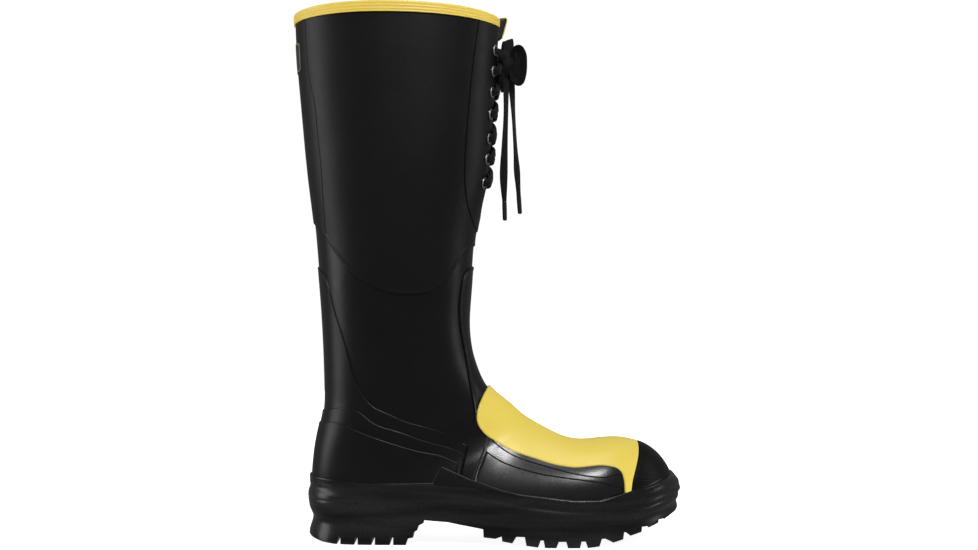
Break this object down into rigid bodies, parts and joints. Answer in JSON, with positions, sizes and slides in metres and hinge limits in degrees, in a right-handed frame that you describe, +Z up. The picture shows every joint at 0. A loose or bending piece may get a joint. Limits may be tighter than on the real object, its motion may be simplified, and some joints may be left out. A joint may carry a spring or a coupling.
{
  "type": "fire boot",
  "caption": "Tall black rubber safety boot with a laced throat, yellow instep cover and top tape, ribbed toe cap, steel toe and lugged sole; right foot.",
  "frame": {"origin": "middle of the boot's footprint on the floor", "axes": "+X towards the toe, -Y towards the outer (lateral) side of the right foot, +Z up the leg"},
  "size_m": [0.3268, 0.1152, 0.4435],
  "materials": {
    "black_rubber": "satin",
    "ribbed_rubber": "satin, fine ribs",
    "sole_rubber": "semi-gloss",
    "yellow_rubber": "satin",
    "yellow_tape": "satin, fine ribs",
    "coated_cloth": "matt",
    "lining_cloth": "matt knit",
    "felt_padding": "matt felt",
    "guard_plastic": "matt",
    "steel": "brushed",
    "fibre_board": "matt fibre board",
    "insole_cloth": "matt",
    "eyelet_metal": "bright, lightly worn",
    "black_lace": "matt weave",
    "aglet_plastic": "gloss"
  },
  "bodies": {
    "root": {"leg_shaft": "black_rubber", "quarter": "black_rubber", "vamp_shell": "black_rubber", "backstay": "black_rubber", "back_patch": "black_rubber", "ankle_guard": "black_rubber", "heel_counter": "black_rubber", "heel_cup": "black_rubber", "shank_patch_lateral": "black_rubber", "shank_patch_medial": "black_rubber", "shin_strip": "black_rubber", "vamp_overlay_lower": "black_rubber", "vamp_overlay_upper": "black_rubber", "facing_lateral": "black_rubber", "facing_medial": "black_rubber", "instep_cover": "yellow_rubber", "toe_cap_cover": "ribbed_rubber", "foxing": "sole_rubber", "toe_bumper": "sole_rubber", "outsole": "sole_rubber", "top_binding": "yellow_tape", "gusset_binding": "yellow_tape", "gusset": "coated_cloth", "gusset_fold": "coated_cloth", "lining": "lining_cloth", "leg_padding": "felt_padding", "foot_padding": "felt_padding", "metatarsal_guard": "guard_plastic", "heel_stiffener": "guard_plastic", "steel_toe_cap": "steel", "puncture_plate": "steel", "steel_shank": "steel", "insole_board": "fibre_board", "insole": "insole_cloth", "lacing": "black_lace", "lace_knot": "black_lace", "lace_loop_lateral": "black_lace", "lace_loop_medial": "black_lace", "lace_tail_lateral": "black_lace", "lace_tail_medial": "black_lace", "aglet_lateral": "aglet_plastic", "aglet_medial": "aglet_plastic", "eyelet_lateral_1": "eyelet_metal", "eyelet_medial_1": "eyelet_metal", "eyelet_lateral_2": "eyelet_metal", "eyelet_medial_2": "eyelet_metal", "eyelet_lateral_3": "eyelet_metal", "eyelet_medial_3": "eyelet_metal", "eyelet_lateral_4": "eyelet_metal", "eyelet_medial_4": "eyelet_metal", "eyelet_lateral_5": "eyelet_metal", "eyelet_medial_5": "eyelet_metal", "eyelet_lateral_6": "eyelet_metal", "eyelet_medial_6": "eyelet_metal", "eyelet_lateral_7": "eyelet_metal", "eyelet_medial_7": "eyelet_metal"}
  },
  "joints": []
}
